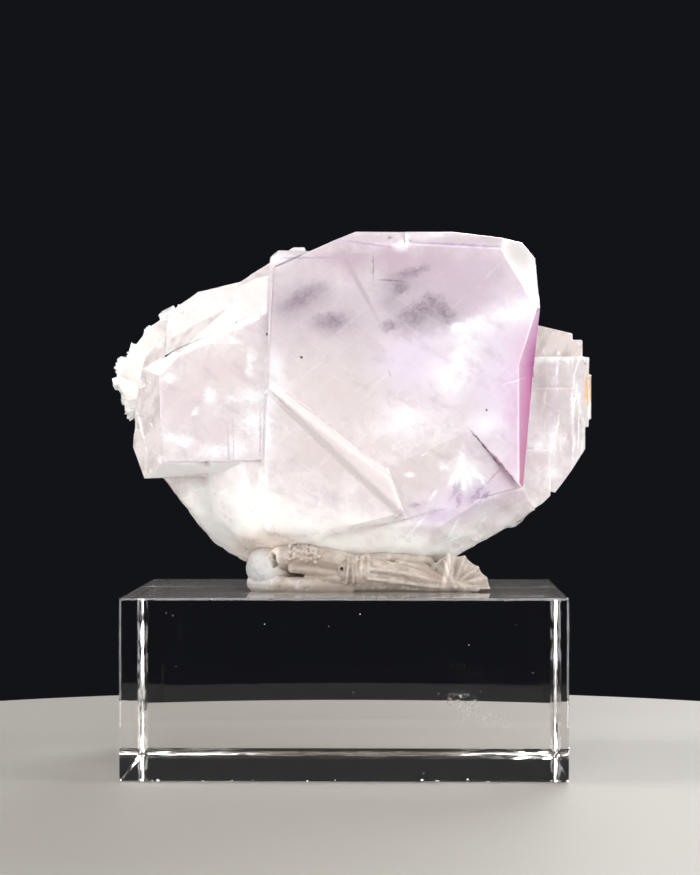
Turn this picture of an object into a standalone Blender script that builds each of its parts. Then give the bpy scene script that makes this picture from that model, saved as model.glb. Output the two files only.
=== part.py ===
"""A cluster of fluorite crystals, held by a wad of mounting putty on a clear acrylic block.

The origin is the centre of the block's underside. +Z is up, and the cluster's show face looks along -Y.
Sizes are in millimetres until a mesh is made, and the scene is in metres.
"""

import math
import random

import bmesh
import bpy
from mathutils import Euler, Matrix, Vector

MM = 0.001

# The block, sawn and polished from thick clear sheet, with its edges barely broken
BLOCK_WIDTH = 76.0
BLOCK_DEPTH = 63.5
BLOCK_HEIGHT = 31.0
BLOCK_CHAMFER = 0.4

# Pieces that touch keep this much space between their meshes
GAP = 0.3

# The great cube: where its middle is, how far each face lies from it, and how far it leans clockwise
CUBE_CENTRE = (9.9, 0.5, 69.5)
CUBE_LEAN = math.radians(2.7)
CUBE_SIDE = 23.4
CUBE_FRONT = 15.5
CUBE_BACK = 15.0

# The broken foot under all the crystals, which the putty grips
FOOT_CENTRE = (2.0, 2.0, 50.0)
FOOT_BOTTOM = 14.4

# The lower crystal at the front, which the putty reaches too
LOWER_CENTRE = (-6.0, -8.0, 52.0)

# The putty starts a gap above the block. Its shape is made with cells of this size, then thinned out
PUTTY_BOTTOM = BLOCK_HEIGHT + GAP
PUTTY_VOXEL = 0.8
PUTTY_KEEP = 0.42


def clear_scene():
    for obj in list(bpy.data.objects):
        bpy.data.objects.remove(obj)


def finish_of(name, colour, roughness, transmission=0.0, ior=1.45):
    """A material with one colour, roughness and share of light let through."""
    material = bpy.data.materials.new(name)
    material.use_nodes = True
    shader = material.node_tree.nodes["Principled BSDF"]
    shader.inputs["Base Color"].default_value = (*colour, 1.0)
    shader.inputs["Roughness"].default_value = roughness
    shader.inputs["Metallic"].default_value = 0.0
    shader.inputs["Transmission Weight"].default_value = transmission
    shader.inputs["IOR"].default_value = ior
    return material


def helpers_in(name):
    """A collection for shapes that are only joined to or cut from a piece."""
    collection = bpy.data.collections.new(name)
    bpy.context.scene.collection.children.link(collection)
    collection.hide_render = True
    return collection


def object_from(bm, name, collection=None):
    """Closes off a bmesh as an object, as a piece or, with a collection, as a helper."""
    bmesh.ops.recalc_face_normals(bm, faces=bm.faces[:])
    mesh = bpy.data.meshes.new(name)
    bm.to_mesh(mesh)
    bm.free()
    obj = bpy.data.objects.new(name, mesh)
    (collection or bpy.context.scene.collection).objects.link(obj)
    if collection:
        obj.hide_render = True
        obj.display_type = "WIRE"
    return obj


def slice_off(bm, point, normal):
    """Cuts away what lies beyond a plane and closes the cut with one flat face."""
    everything = bm.verts[:] + bm.edges[:] + bm.faces[:]
    found = bmesh.ops.bisect_plane(
        bm, geom=everything, dist=1e-8, plane_co=point, plane_no=normal, clear_outer=True
    )
    rim = [part for part in found["geom_cut"] if isinstance(part, bmesh.types.BMEdge)]
    if rim:
        bmesh.ops.contextual_create(bm, geom=rim)


def box_faces(left, right, front, back, bottom, top):
    """The six faces of a box, each as a direction and its distance from the middle."""
    return [
        ((-1, 0, 0), left),
        ((1, 0, 0), right),
        ((0, -1, 0), front),
        ((0, 1, 0), back),
        ((0, 0, -1), bottom),
        ((0, 0, 1), top),
    ]


def crystal(name, collection, centre, faces, turn=(0.0, 0.0, 0.0), grow=0.0):
    """A flat-faced solid: the space behind every face. turn is in degrees, and grow moves each face out."""
    reach = 4 * max(distance for _, distance in faces) * MM
    bm = bmesh.new()
    bmesh.ops.create_cube(bm, size=2 * reach)
    for direction, distance in faces:
        normal = Vector(direction).normalized()
        slice_off(bm, normal * (distance + grow) * MM, normal)
    place = Matrix.Translation(Vector(centre) * MM)
    spin = Euler([math.radians(angle) for angle in turn]).to_matrix().to_4x4()
    bmesh.ops.transform(bm, matrix=place @ spin, verts=bm.verts[:])
    return object_from(bm, name, collection)


def boolean(obj, name, operation, collection):
    """Joins or cuts a piece with every helper in a collection."""
    modifier = obj.modifiers.new(name, "BOOLEAN")
    modifier.operation = operation
    modifier.solver = "EXACT"
    modifier.operand_type = "COLLECTION"
    modifier.collection = collection
    return modifier


def great_cube():
    """The faces of the largest crystal, in its own leaning axes."""
    faces = box_faces(CUBE_SIDE, 30.0, CUBE_FRONT, CUBE_BACK, 30.0, 30.0)
    faces += [
        ((1, 0, -0.045), 22.9),
        ((-0.047, 0, 0.999), 24.7),  # the top, level as far as its middle
        ((0.08, 0, 0.997), 25.6),  # and falling a little to the right from there
        ((0, -1, 1), 26.8),  # the bevel along the top edge
        ((-0.448, 0, 0.894), 25.9),  # the slope down to the left shoulder
        ((0.716, 0, 0.698), 31.1),  # the cut-off upper right corner
        ((0.995, 0, 0.102), 24.6),
        ((0.72, -0.505, 0.475), 30.1),  # and the bright facet in front of it
        ((0.31, 0, -0.95), 24.9),
        ((0.2, -0.72, -0.66), 27.6),
        ((0.5, 0.7, 0.4), 27.5),
        ((-0.6, 0.75, 0.1), 23.5),
        ((0.1, 0.75, 0.66), 26.2),
    ]
    return faces


def left_cube():
    """The faces of the bevelled cube at the left, which narrows towards its top."""
    faces = box_faces(15.0, 9.8, 11.0, 12.0, 14.0, 17.0)
    faces += [
        ((-0.998, 0, 0.068), 13.3),
        ((-0.978, 0, 0.207), 13.1),
        ((-0.93, 0, -0.369), 15.7),
        ((0.036, 0, -0.999), 12.7),
        ((0.205, 0, -0.979), 12.2),
        ((-0.699, -0.712, -0.023), 13.8),  # the wide bevel down the left edge
        ((0, -0.644, -0.767), 14.9),  # the narrow bevel along the bottom
        ((-0.494, -0.707, 0.506), 14.6),  # the slanting bevel at the upper left
        ((-0.314, -0.64, 0.703), 14.6),  # the bright slope up to the shoulder
        ((-0.698, 0, 0.716), 14.1),
        ((-0.6, 0.8, 0.0), 14.0),
    ]
    return faces


def lower_faces():
    """The lower crystal, whose flat face lies a little behind the great cube's."""
    return box_faces(18.5, 14.0, 6.0, 12.0, 14.5, 20.0) + [
        ((0.02, -1, -0.05), 5.9),
        ((-0.42, -0.9, -0.1), 10.2),
        ((0.66, 0, 0.75), 5.0),
        ((0, -0.8, -0.6), 10.9),
        ((0.7, -0.5, -0.5), 12.4),
        ((-0.6, -0.35, -0.72), 17.0),
    ]


def foot_faces():
    """The broken foot: no crystal faces, only breaks."""
    return [
        ((0, -1, -0.05), 15.3),
        ((-0.45, -0.89, -0.05), 20.8),
        ((0.35, -0.93, -0.1), 21.4),
        ((0, -0.83, -0.56), 16.4),
        ((0.4, -0.66, -0.64), 20.2),
        ((-0.42, -0.6, -0.68), 21.0),
        ((-0.796, 0, -0.606), 27.3),
        ((-0.529, 0, -0.849), 23.2),
        ((0.852, 0, 0.524), 24.3),
        ((0.521, 0, -0.853), 20.4),
        ((-0.7, 0.7, 0), 28.0),
        ((0.7, 0.7, -0.1), 29.0),
        ((0, 0.62, -0.78), 19.0),
        ((-0.5, 0.6, -0.6), 21.5),
        ((0.6, 0.6, -0.5), 23.5),
        ((0, 0, -1), FOOT_BOTTOM),
        ((0, 1, 0), 17.0),
        ((0, 0, 1), 4.1),
    ]


def chipped(faces, depth, count, seed):
    """Adds small breaks that take a chip off the edges of a solid with these faces."""
    chance = random.Random(seed)
    found = list(faces)
    for _ in range(count):
        direction = Vector([chance.gauss(0, 1) for _ in range(3)]).normalized()
        nearest = max(direction.dot(Vector(way).normalized()) for way, _ in faces)
        if nearest < 0.9:
            reach = min(
                distance / max(direction.dot(Vector(way).normalized()), 0.05)
                for way, distance in faces
            )
            found.append((tuple(direction), reach - depth * chance.uniform(0.4, 1.0)))
    return found


def grow_front(grown):
    """The crystals seen from the front, apart from the great cube that they are joined to."""
    # The low corner of the great cube, which stopped short of the full height
    low_corner = box_faces(9.55, 12.0, 8.1, 9.0, 12.0, 13.2) + [
        ((-0.81, 0, 0.585), 14.4),
        ((0, -1, 1), 14.3),
    ]
    crystal("low_corner", grown, (-4.0, -6.8, 77.5), low_corner, (0, 1.4, 0))

    crystal("left_cube", grown, (-24, -3, 64), left_cube())
    # A thin layer on the left cube's face, its edge a fine upright line
    crystal("left_layer", grown, (-17.2, -13.4, 56.4), box_faces(2.9, 2.6, 0.85, 2.0, 2.2, 3.4), (0, 1, 0))

    # The frosted shoulder between the left cube and the great one
    shoulder = box_faces(14.0, 10.0, 12.5, 15.0, 18.0, 20.0) + [
        ((-0.2075, 0, 0.978), 13.8),
        ((-0.587, 0, 0.81), 15.1),
        ((-0.314, -0.64, 0.703), 12.8),
        ((-0.5, 0.8, 0.2), 15.5),
        ((0, 0.6, 0.8), 16.8),
    ]
    crystal("shoulder", grown, (-18, 0, 72), shoulder)
    ledge = box_faces(6.0, 6.0, 6.0, 6.5, 8.0, 12.0) + [((-0.547, 0, 0.837), 7.9)]
    crystal("shoulder_ledge", grown, (-13.5, 1.0, 80), ledge)

    crystal("lower_crystal", grown, LOWER_CENTRE, lower_faces())
    # Its rim stands up as a ridge, and crosses the great cube's face at a slant
    ridge = box_faces(20.0, 20.0, 1.9, 3.0, 20.0, 20.0) + [
        ((0.602, 0, 0.798), 3.1),
        ((0.886, 0, 0.464), 6.6),
        ((-0.685, 0, -0.729), 0.9),
        ((0.426, -0.707, 0.564), 2.83),
        ((-0.484, -0.707, -0.515), 0.85),
        ((0.73, 0, -0.68), 15.8),
        ((-0.73, 0, 0.68), 16.1),
    ]
    crystal("ridge", grown, (-2.0, -14.4, 55.5), ridge)

    # The cloudy crystal behind the right edge, stepped where it stopped and started again
    slope = ((0.813, 0, -0.583), 10.9)
    right_steps = (
        ("right_top", 6.7, 5.0, 20.0, 9.0, ((0.232, 0, 0.973), 16.1)),
        ("right_shelf", 8.5, 5.0, 13.8, 9.0, ((0.6, 0.6, 0.5), 14.5)),
        ("right_body", 9.8, 7.2, 10.7, 2.0, ((0.7, -0.7, 0), 11.0)),
        ("right_heart", 9.1, 7.6, 5.0, 14.0, ((0.7, -0.7, 0), 10.6)),
        ("right_stain", 10.3, 6.4, 7.6, 0.6, ((0.7, -0.7, 0), 10.9)),
    )
    for name, side, front, high, low, extra in right_steps:
        faces = box_faces(16.0, side, front, 8.0 + 0.4 * side, low, high) + [slope, extra]
        faces += [((-0.2, 0, -0.98), 12.9), ((0.6, 0.75, 0), 14.6)]
        crystal(name, grown, (34.0, 9.5, 62.0), faces)
    right_foot = box_faces(8.0, 6.4, 6.0, 9.0, 8.0, 6.0) + [((0.666, 0, -0.746), 6.0)]
    crystal("right_foot", grown, (30.0, 3.0, 50.0), right_foot)

    # The white broken piece behind the left cube
    left_break = box_faces(12.0, 12.0, 5.5, 9.0, 11.0, 14.0) + [
        ((-0.984, 0, 0.18), 7.2),
        ((-0.809, 0, 0.588), 5.6),
        ((-0.659, 0, 0.753), 6.2),
        ((-0.894, 0, -0.447), 8.0),
        ((-0.7, 0.7, 0.1), 9.5),
        ((-0.6, -0.75, 0.3), 8.6),
        ((0, 0.7, 0.7), 11.5),
        ((-0.3, 0.6, -0.7), 11.0),
    ]
    crystal("left_break", grown, (-34.0, 6.0, 71.0), chipped(left_break, 0.9, 22, 11))
    # Teeth along its edge
    chance = random.Random(21)
    corners = ((-38.6, 63.8), (-40.4, 67.6), (-40.4, 70.6), (-37.4, 74.4), (-35.2, 77.0), (-32.3, 79.4), (-30.0, 81.2))
    for number, (x, z) in enumerate(corners):
        size = chance.uniform(1.0, 1.6)
        place = (x + 0.5, 4.5 + chance.uniform(-2.0, 3.0), z - 0.5)
        teeth = chipped(box_faces(*[size] * 6), 0.4, 8, 40 + number)
        crystal(f"left_tooth_{number}", grown, place, teeth, (20, 30 + 11 * number, 12))

    crystal("foot", grown, FOOT_CENTRE, foot_faces())


def grow_back(grown):
    """The back of the cluster: cubes grown side by side, all but parallel, with small ones seeded on them."""
    lean = math.degrees(CUBE_LEAN)
    backs = (
        ("back_cube_0", (-3.0, 16.5, 66.0), (12.5, 12.0, 10.0, 8.5, 14.0, 11.0), 4),
        ("back_cube_1", (18.0, 16.0, 60.5), (9.5, 9.0, 9.0, 9.6, 12.0, 13.0), -3),
        ("back_cube_2", (-20.0, 13.5, 60.0), (9.0, 10.0, 8.0, 8.4, 9.0, 12.0), 9),
        ("back_cube_3", (7.0, 15.5, 50.5), (11.0, 10.0, 8.0, 8.8, 7.5, 10.0), 2),
        ("back_cube_4", (13.0, 13.0, 81.0), (8.0, 7.5, 7.0, 6.6, 8.0, 6.4), -5),
    )
    for name, centre, halves, twist in backs:
        left, right, front, back, bottom, top = halves
        faces = box_faces(*halves) + [
            ((0, 1, 1), (back + top) / math.sqrt(2) - 1.2),
            ((1, 1, 0), (right + back) / math.sqrt(2) - 1.0),
            ((-1, 1, 0), (left + back) / math.sqrt(2) - 0.8),
            ((1, 1, 1), (right + back + top) / math.sqrt(3) - 1.6),
            ((-1, 1, 1), (left + back + top) / math.sqrt(3) - 2.0),
            ((1, 1, -1), (right + back + bottom) / math.sqrt(3) - 1.5),
        ]
        crystal(name, grown, centre, faces, (twist * 0.5, lean, twist))
        # A growth layer on the back face
        layer = box_faces(left * 0.55, right * 0.6, 2.0, 0.5, bottom * 0.6, top * 0.5)
        layer.append(((1, 0, 1), (right * 0.6 + top * 0.5) / math.sqrt(2) - 1.0))
        place = (centre[0] + 0.1 * twist, centre[1] + back, centre[2] - 1.5)
        crystal(f"{name}_layer", grown, place, layer, (twist * 0.5, lean, twist))

    chance = random.Random(5)
    for number in range(24):
        name, centre, halves, twist = backs[number % len(backs)]
        left, right, front, back, bottom, top = halves
        size = chance.uniform(1.5, 3.6)
        x = chance.uniform(-left, right)
        y = back - 0.3 * size
        z = chance.uniform(-bottom * 0.8, top)
        if number % 3 == 1:
            x = (right if number % 2 else -left) * 0.97
            y = chance.uniform(0, back)
        elif number % 3 == 2:
            y = chance.uniform(0.3 * back, back)
            z = top * 0.97
        turn = [chance.uniform(-6.0, 6.0) for _ in range(3)]
        faces = box_faces(*[size * chance.uniform(0.75, 1.1) for _ in range(6)])
        faces.append(((chance.choice((-1, 1)), 1, 1), size * 1.35))
        place = (centre[0] + x, centre[1] + y, centre[2] + z)
        crystal(f"seed_cube_{number:02d}", grown, place, faces, turn)


def carve(cut):
    """What is missing from the joined crystals: bevels that run in, the cleaved corner, and chips."""
    lean = (0, math.degrees(CUBE_LEAN), 0)
    # The purple bevel down the great cube's right edge, which runs out towards the bright facet
    bevel = box_faces(10.0, 40.0, 40.0, 10.0, 40.0, 40.0) + [
        ((-0.85, 0.525, -0.04), -25.4),
        ((-0.821, 0.525, 0.222), -24.2),
    ]
    crystal("right_bevel", cut, CUBE_CENTRE, bevel, lean)
    # The wider bevel on the left half of the top edge
    bevel = box_faces(13.5, 0.35, 40.0, 10.0, 10.0, 40.0) + [((-0.086, 0.707, -0.702), -26.25)]
    crystal("top_bevel", cut, CUBE_CENTRE, bevel)

    # The cleaved corner falls back from a crease on the great cube's face to a crack at its right
    crease_left = Vector((7.2, -15.0, 52.9))
    crease_right = Vector((21.9, -15.0, 59.3))
    crack_foot = Vector((29.6, -13.0, 50.3))
    floor_normal = (crease_right - crease_left).cross(crack_foot - crease_left).normalized()
    if floor_normal.y < 0:
        floor_normal.negate()
    centre = Vector((19.0, -17.0, 51.0))
    crack = crack_foot - crease_right
    crack_wall = Vector((-crack.z, 0, crack.x)).normalized()
    faces = box_faces(18.0, 18.0, 4.0, 12.0, 12.0, 14.0) + [
        ((-0.937, 0, -0.35), 10.4),
        (tuple(floor_normal), (crease_left - centre).dot(floor_normal)),
        (tuple(crack_wall), (crease_right - centre).dot(crack_wall)),
    ]
    crystal("cleaved_corner", cut, centre, faces)

    # Chips: where each sits on an edge, how big it is, and how it is turned
    chips = (
        ((9.4, -14.6, 93.6), 1.3, (20, 30, 10)),
        ((8.2, -14.2, 94.4), 1.0, (35, 10, 25)),
        ((34.4, -14.6, 79.9), 0.8, (15, 5, 40)),
        ((33.2, -11.6, 60.5), 0.7, (40, 5, 20)),
        ((-37.8, -8.5, 60.0), 1.0, (10, 25, 45)),
        ((-36.4, -11.0, 68.0), 1.0, (35, 15, 30)),
        ((-24.5, -13.9, 53.0), 0.9, (30, 30, 10)),
        ((44.4, 3.2, 62.6), 1.2, (10, 20, 30)),
        ((43.6, 3.4, 72.8), 1.1, (45, 10, 15)),
        ((21.0, 26.0, 70.0), 1.6, (20, 30, 40)),
        ((-6.0, 25.2, 76.5), 1.8, (40, 20, 10)),
    )
    for number, (place, size, turn) in enumerate(chips):
        eight = [((x, y, z), size) for x in (-1, 1) for y in (-1, 1) for z in (-1, 1)]
        crystal(f"chip_{number:02d}", cut, place, eight, turn)


def make_cluster(material):
    cluster = crystal(
        "fluorite_cluster", None, CUBE_CENTRE, great_cube(), (0, math.degrees(CUBE_LEAN), 0)
    )
    cluster.data.materials.append(material)
    grown = helpers_in("grown_crystals")
    grow_front(grown)
    grow_back(grown)
    cut = helpers_in("breaks")
    carve(cut)
    boolean(cluster, "grow_together", "UNION", grown)
    boolean(cluster, "break_off", "DIFFERENCE", cut)
    return cluster


def roll(name, collection, path, radii, flatten=1.0, sides=14, ribs=0.0):
    """A hand-rolled strip of putty along a path, its ends rounded over, ribbed where it was wound."""
    points = [Vector(p) for p in path]
    bm = bmesh.new()
    rings = []
    steps = 5
    count = (len(points) - 1) * steps
    for index in range(count + 1):
        place = index / steps
        low = min(int(place), len(points) - 2)
        share = place - low
        centre = points[low].lerp(points[low + 1], share)
        radius = radii[low] + (radii[low + 1] - radii[low]) * share
        end = min(index, count - index) / 2.0
        if end < 1:
            radius *= math.sqrt(max(1 - (1 - end) ** 2, 0.12))
        radius *= 1 + ribs * math.cos(index * math.pi)
        along = (points[low + 1] - points[low]).normalized()
        across = along.cross(Vector((0, 0, 1))).normalized()
        up = across.cross(along)
        ring = []
        for side in range(sides):
            angle = 2 * math.pi * side / sides
            offset = across * math.cos(angle) * radius + up * math.sin(angle) * radius * flatten
            ring.append(bm.verts.new((centre + offset) * MM))
        rings.append(ring)
    for first, second in zip(rings, rings[1:]):
        for side in range(sides):
            after = (side + 1) % sides
            bm.faces.new((first[side], first[after], second[after], second[side]))
    bm.faces.new(rings[0])
    bm.faces.new(rings[-1])
    return object_from(bm, name, collection)


def ball(name, collection, centre, radii, turn=(0, 0, 0)):
    """A pinched-off lump of putty."""
    bm = bmesh.new()
    bmesh.ops.create_icosphere(bm, subdivisions=2, radius=1.0)
    spin = Euler([math.radians(angle) for angle in turn]).to_matrix().to_4x4()
    size = Matrix.Diagonal((*[radius * MM for radius in radii], 1))
    place = Matrix.Translation(Vector(centre) * MM)
    bmesh.ops.transform(bm, matrix=place @ spin @ size, verts=bm.verts[:])
    return object_from(bm, name, collection)


def make_putty(material):
    """One wad: rolled strips and lumps pressed together, then shaped by the block below and the foot above."""
    wad = ball("mounting_putty", None, (3.5, 0, 33.0), (17.5, 12.5, 3.6))
    wad.data.materials.append(material)
    lumps = helpers_in("putty_lumps")
    ball("left_ball", lumps, (-12.9, -8.2, 34.4), (5.4, 5.4, 3.8))
    ball("left_cap", lumps, (-12.6, -9.6, 37.2), (3.6, 3.8, 2.5))
    ball("left_back", lumps, (-9.5, 6.5, 34.5), (6.5, 5.5, 4.2))
    ball("right_back", lumps, (14.0, 6.0, 34.0), (8.5, 6.0, 4.0))
    roll(
        "front_roll",
        lumps,
        ((-12.6, -11.0, 37.8), (-8.0, -12.2, 37.1), (-3.0, -12.8, 36.1), (1.5, -12.4, 35.2)),
        (2.0, 2.6, 2.6, 1.9),
        flatten=0.92,
    )
    roll(
        "under_roll",
        lumps,
        ((-9.0, -11.5, 33.0), (-4.0, -12.4, 32.6), (1.0, -12.2, 32.8)),
        (1.9, 2.1, 1.7),
    )
    roll(
        "wound_roll",
        lumps,
        ((-1.0, -11.6, 34.0), (3.5, -12.4, 34.3), (9.0, -12.6, 33.8), (15.0, -12.6, 32.7), (20.0, -12.4, 31.9)),
        (3.0, 3.2, 2.8, 1.8, 1.0),
        flatten=0.96,
        ribs=0.025,
    )
    # The torn end stands up as a fan of thin folds at the right
    for number in range(4):
        lean = 34 - 15 * number
        ball(
            f"fan_fold_{number}",
            lumps,
            (17.4 + 1.9 * number, -9.8 + 0.7 * number, 34.2 - 0.55 * number),
            (0.85, 3.4, 4.3 - 0.45 * number),
            (0, lean, 14 - 8 * number),
        )
    ball("fan_root", lumps, (18.5, -8.4, 32.6), (6.6, 4.6, 2.6))
    roll(
        "back_roll",
        lumps,
        ((-13.0, 9.0, 34.0), (-4.0, 12.0, 35.0), (6.0, 12.6, 34.4), (16.0, 10.5, 33.6)),
        (2.0, 2.9, 2.6, 1.8),
    )
    boolean(wad, "press_together", "UNION", lumps)
    smooth_over = wad.modifiers.new("smooth_over", "REMESH")
    smooth_over.mode = "VOXEL"
    smooth_over.voxel_size = PUTTY_VOXEL * MM
    soften = wad.modifiers.new("soften", "SMOOTH")
    soften.factor = 0.5
    soften.iterations = 2
    fewer = wad.modifiers.new("fewer_faces", "DECIMATE")
    fewer.ratio = PUTTY_KEEP
    moulds = helpers_in("moulds")
    crystal("foot_mould", moulds, FOOT_CENTRE, foot_faces(), grow=GAP)
    crystal("lower_mould", moulds, LOWER_CENTRE, lower_faces(), grow=GAP)
    crystal("block_mould", moulds, (0, 0, PUTTY_BOTTOM - 20.0), box_faces(60, 60, 60, 60, 20, 20))
    boolean(wad, "press_on", "DIFFERENCE", moulds)
    return wad


def make_block(material):
    bm = bmesh.new()
    bmesh.ops.create_cube(bm, size=1.0)
    size = Matrix.Diagonal((BLOCK_WIDTH * MM, BLOCK_DEPTH * MM, BLOCK_HEIGHT * MM, 1))
    place = Matrix.Translation((0, 0, BLOCK_HEIGHT / 2 * MM))
    bmesh.ops.transform(bm, matrix=place @ size, verts=bm.verts[:])
    bmesh.ops.bevel(bm, geom=bm.edges[:], offset=BLOCK_CHAMFER * MM, segments=1, affect="EDGES")
    block = object_from(bm, "acrylic_block")
    block.data.materials.append(material)
    return block


def main():
    clear_scene()
    fluorite = finish_of("fluorite", (0.86, 0.80, 0.88), 0.12, transmission=0.6, ior=1.434)
    putty = finish_of("mineral_putty", (0.78, 0.75, 0.71), 0.7)
    acrylic = finish_of("clear_acrylic", (0.97, 0.98, 0.98), 0.02, transmission=1.0, ior=1.49)
    make_cluster(fluorite)
    make_putty(putty)
    make_block(acrylic)


main()
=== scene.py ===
import math
import random

import bpy
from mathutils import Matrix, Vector


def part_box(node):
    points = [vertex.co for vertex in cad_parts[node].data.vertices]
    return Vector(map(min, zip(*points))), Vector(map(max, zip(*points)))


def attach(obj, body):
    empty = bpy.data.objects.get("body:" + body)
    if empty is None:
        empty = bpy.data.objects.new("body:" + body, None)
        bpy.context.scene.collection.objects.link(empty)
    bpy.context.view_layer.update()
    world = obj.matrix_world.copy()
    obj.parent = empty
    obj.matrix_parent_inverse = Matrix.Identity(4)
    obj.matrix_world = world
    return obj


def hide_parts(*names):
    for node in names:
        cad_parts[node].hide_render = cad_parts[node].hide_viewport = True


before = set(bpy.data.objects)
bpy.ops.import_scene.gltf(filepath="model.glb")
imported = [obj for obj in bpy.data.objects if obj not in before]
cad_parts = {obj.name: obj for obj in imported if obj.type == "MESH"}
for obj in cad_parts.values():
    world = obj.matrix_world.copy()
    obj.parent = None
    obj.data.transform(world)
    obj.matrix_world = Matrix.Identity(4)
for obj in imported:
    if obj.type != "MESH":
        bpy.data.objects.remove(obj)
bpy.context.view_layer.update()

MM = 0.001


# The display block is clear cast acrylic, sawn from thick sheet and polished, with its edges barely broken.
# The sawn ends keep a faint ripple under the polish, and the lower front edge has been knocked.
# The cluster's putty holds to its upper face, and it stands loose on its underside.

BLOCK_CHAMFER = 0.4 * MM
BACK_ROUND = 0.95 * MM
RIPPLE_STEP = 0.9 * MM
RIPPLE_DEPTH = 0.22 * MM
EDGE_CHIPS = 34
CHIP_REACH = 36


def only(obj):
    """Leaves one object selected and active, with nothing of it selected in edit mode."""
    bpy.ops.object.select_all(action="DESELECT")
    obj.select_set(True)
    bpy.context.view_layer.objects.active = obj
    mesh = obj.data
    for parts in (mesh.vertices, mesh.edges, mesh.polygons):
        parts.foreach_set("select", [False] * len(parts))


def pick_faces(obj, wanted):
    """Selects the faces for which wanted(centre, normal, area) holds, and opens the object in edit mode."""
    only(obj)
    bpy.context.tool_settings.mesh_select_mode = (False, False, True)
    mesh = obj.data
    chosen = [bool(wanted(face.center, face.normal, face.area)) for face in mesh.polygons]
    mesh.polygons.foreach_set("select", chosen)
    bpy.ops.object.mode_set(mode="EDIT")
    return sum(chosen)


def close_edit():
    bpy.ops.object.mode_set(mode="OBJECT")


def finish_modifiers(obj):
    """Applies an object's modifiers in order."""
    only(obj)
    for modifier in list(obj.modifiers):
        bpy.ops.object.modifier_apply(modifier=modifier.name)


def settle(obj):
    """Puts an object's place, turn and size into its mesh."""
    only(obj)
    bpy.ops.object.transform_apply(location=True, rotation=True, scale=True)


def join(objects, name):
    """Makes one object of several."""
    bpy.ops.object.select_all(action="DESELECT")
    for obj in objects:
        obj.select_set(True)
    bpy.context.view_layer.objects.active = objects[0]
    bpy.ops.object.join()
    objects[0].name = name
    return objects[0]


def cut_or_join(obj, other, operation, overlapping=False):
    """Cuts or joins another object into this one, and deletes the other."""
    modifier = obj.modifiers.new("solid", "BOOLEAN")
    modifier.operation = operation
    modifier.solver = "EXACT"
    modifier.use_self = overlapping
    modifier.object = other
    finish_modifiers(obj)
    bpy.data.objects.remove(other)


def slices(obj, wanted, axis, step):
    """Cuts the wanted faces into strips of one width across an axis, to raise relief on them."""
    low = min(corner[axis] for corner in obj.bound_box)
    high = max(corner[axis] for corner in obj.bound_box)
    normal = [0.0, 0.0, 0.0]
    normal[axis] = 1.0
    count = int((high - low) / step)
    if pick_faces(obj, wanted):
        bpy.ops.mesh.hide(unselected=True)
        for number in range(1, count + 1):
            place = [0.0, 0.0, 0.0]
            place[axis] = low + (high - low) * number / (count + 1)
            bpy.ops.mesh.select_all(action="SELECT")
            bpy.ops.mesh.bisect(plane_co=place, plane_no=normal)
        bpy.ops.mesh.reveal(select=False)
    close_edit()


def linear(hex_colour):
    """The linear colour of an sRGB hex value."""
    parts = [int(hex_colour[i : i + 2], 16) / 255 for i in (1, 3, 5)]
    return tuple(c / 12.92 if c <= 0.04045 else ((c + 0.055) / 1.055) ** 2.4 for c in parts) + (1.0,)


def add_node(tree, kind, settings=None, inputs=None):
    """Adds a node with its settings, its inputs' values and the outputs that are linked to them."""
    made = tree.nodes.new("ShaderNode" + kind)
    for name, value in (settings or {}).items():
        setattr(made, name, value)
    for name, value in (inputs or {}).items():
        socket = made.inputs[name]
        if isinstance(value, bpy.types.NodeSocket):
            tree.links.new(value, socket)
        else:
            socket.default_value = value
    return made


def new_finish(name):
    """An empty material, its shader, and the place of a point in millimetres."""
    material = bpy.data.materials.new(name)
    material.use_nodes = True
    tree = material.node_tree
    shader = tree.nodes["Principled BSDF"]
    objects = add_node(tree, "TexCoord").outputs["Object"]
    place = add_node(tree, "Mapping", inputs={"Vector": objects, "Scale": (1000, 1000, 1000)}).outputs[0]
    return material, tree, shader, place


def spots(tree, place, middle, deep, shapes, soft=0.5):
    """How far a point is inside any of several egg shapes, lying in an upright sheet this deep, in mm.

    Each shape is its middle's x and z, half its length and width, and its turn to the right in degrees.
    """
    inside = None
    for x, z, length, width, turn in shapes:
        egg = add_node(tree, "TexGradient", {"gradient_type": "SPHERICAL"}, {"Vector": place})
        egg.texture_mapping.vector_type = "TEXTURE"
        egg.texture_mapping.translation = (x, middle, z)
        egg.texture_mapping.rotation = (0, math.radians(turn), 0)
        egg.texture_mapping.scale = [(1 + soft) * half for half in (length, deep, width)]
        near = egg.outputs["Fac"]
        if inside is not None:
            near = add_node(tree, "Math", {"operation": "MAXIMUM"}, {0: inside, 1: near}).outputs[0]
        inside = near
    fade = add_node(
        tree,
        "MapRange",
        {"interpolation_type": "SMOOTHSTEP"},
        {"Value": inside, "From Min": 0.0, "From Max": 2 * soft / (1 + soft)},
    )
    return fade.outputs["Result"]


block_low, block_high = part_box("acrylic_block")
block_middle = (Vector(block_low) + Vector(block_high)) / 2
bpy.ops.object.select_all(action="DESELECT")
bpy.ops.mesh.primitive_cube_add(size=1, location=block_middle)
block = bpy.context.object
block.name = "display_block"
block.scale = Vector(block_high) - Vector(block_low)
settle(block)
only(block)
for line in block.data.edges:
    ends = [block.data.vertices[i].co for i in line.vertices]
    behind = all(end.y > 0 for end in ends)
    line.select = behind and not all(end.z > block_middle.z for end in ends)
bpy.context.tool_settings.mesh_select_mode = (False, True, False)
bpy.ops.object.mode_set(mode="EDIT")
bpy.ops.mesh.bevel(offset=BACK_ROUND, segments=5, profile=0.5)
close_edit()
edge = block.modifiers.new("edge", "BEVEL")
edge.width = BLOCK_CHAMFER
edge.segments = 2
edge.profile = 0.6
edge.limit_method = "ANGLE"
edge.angle_limit = math.radians(50)
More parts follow.
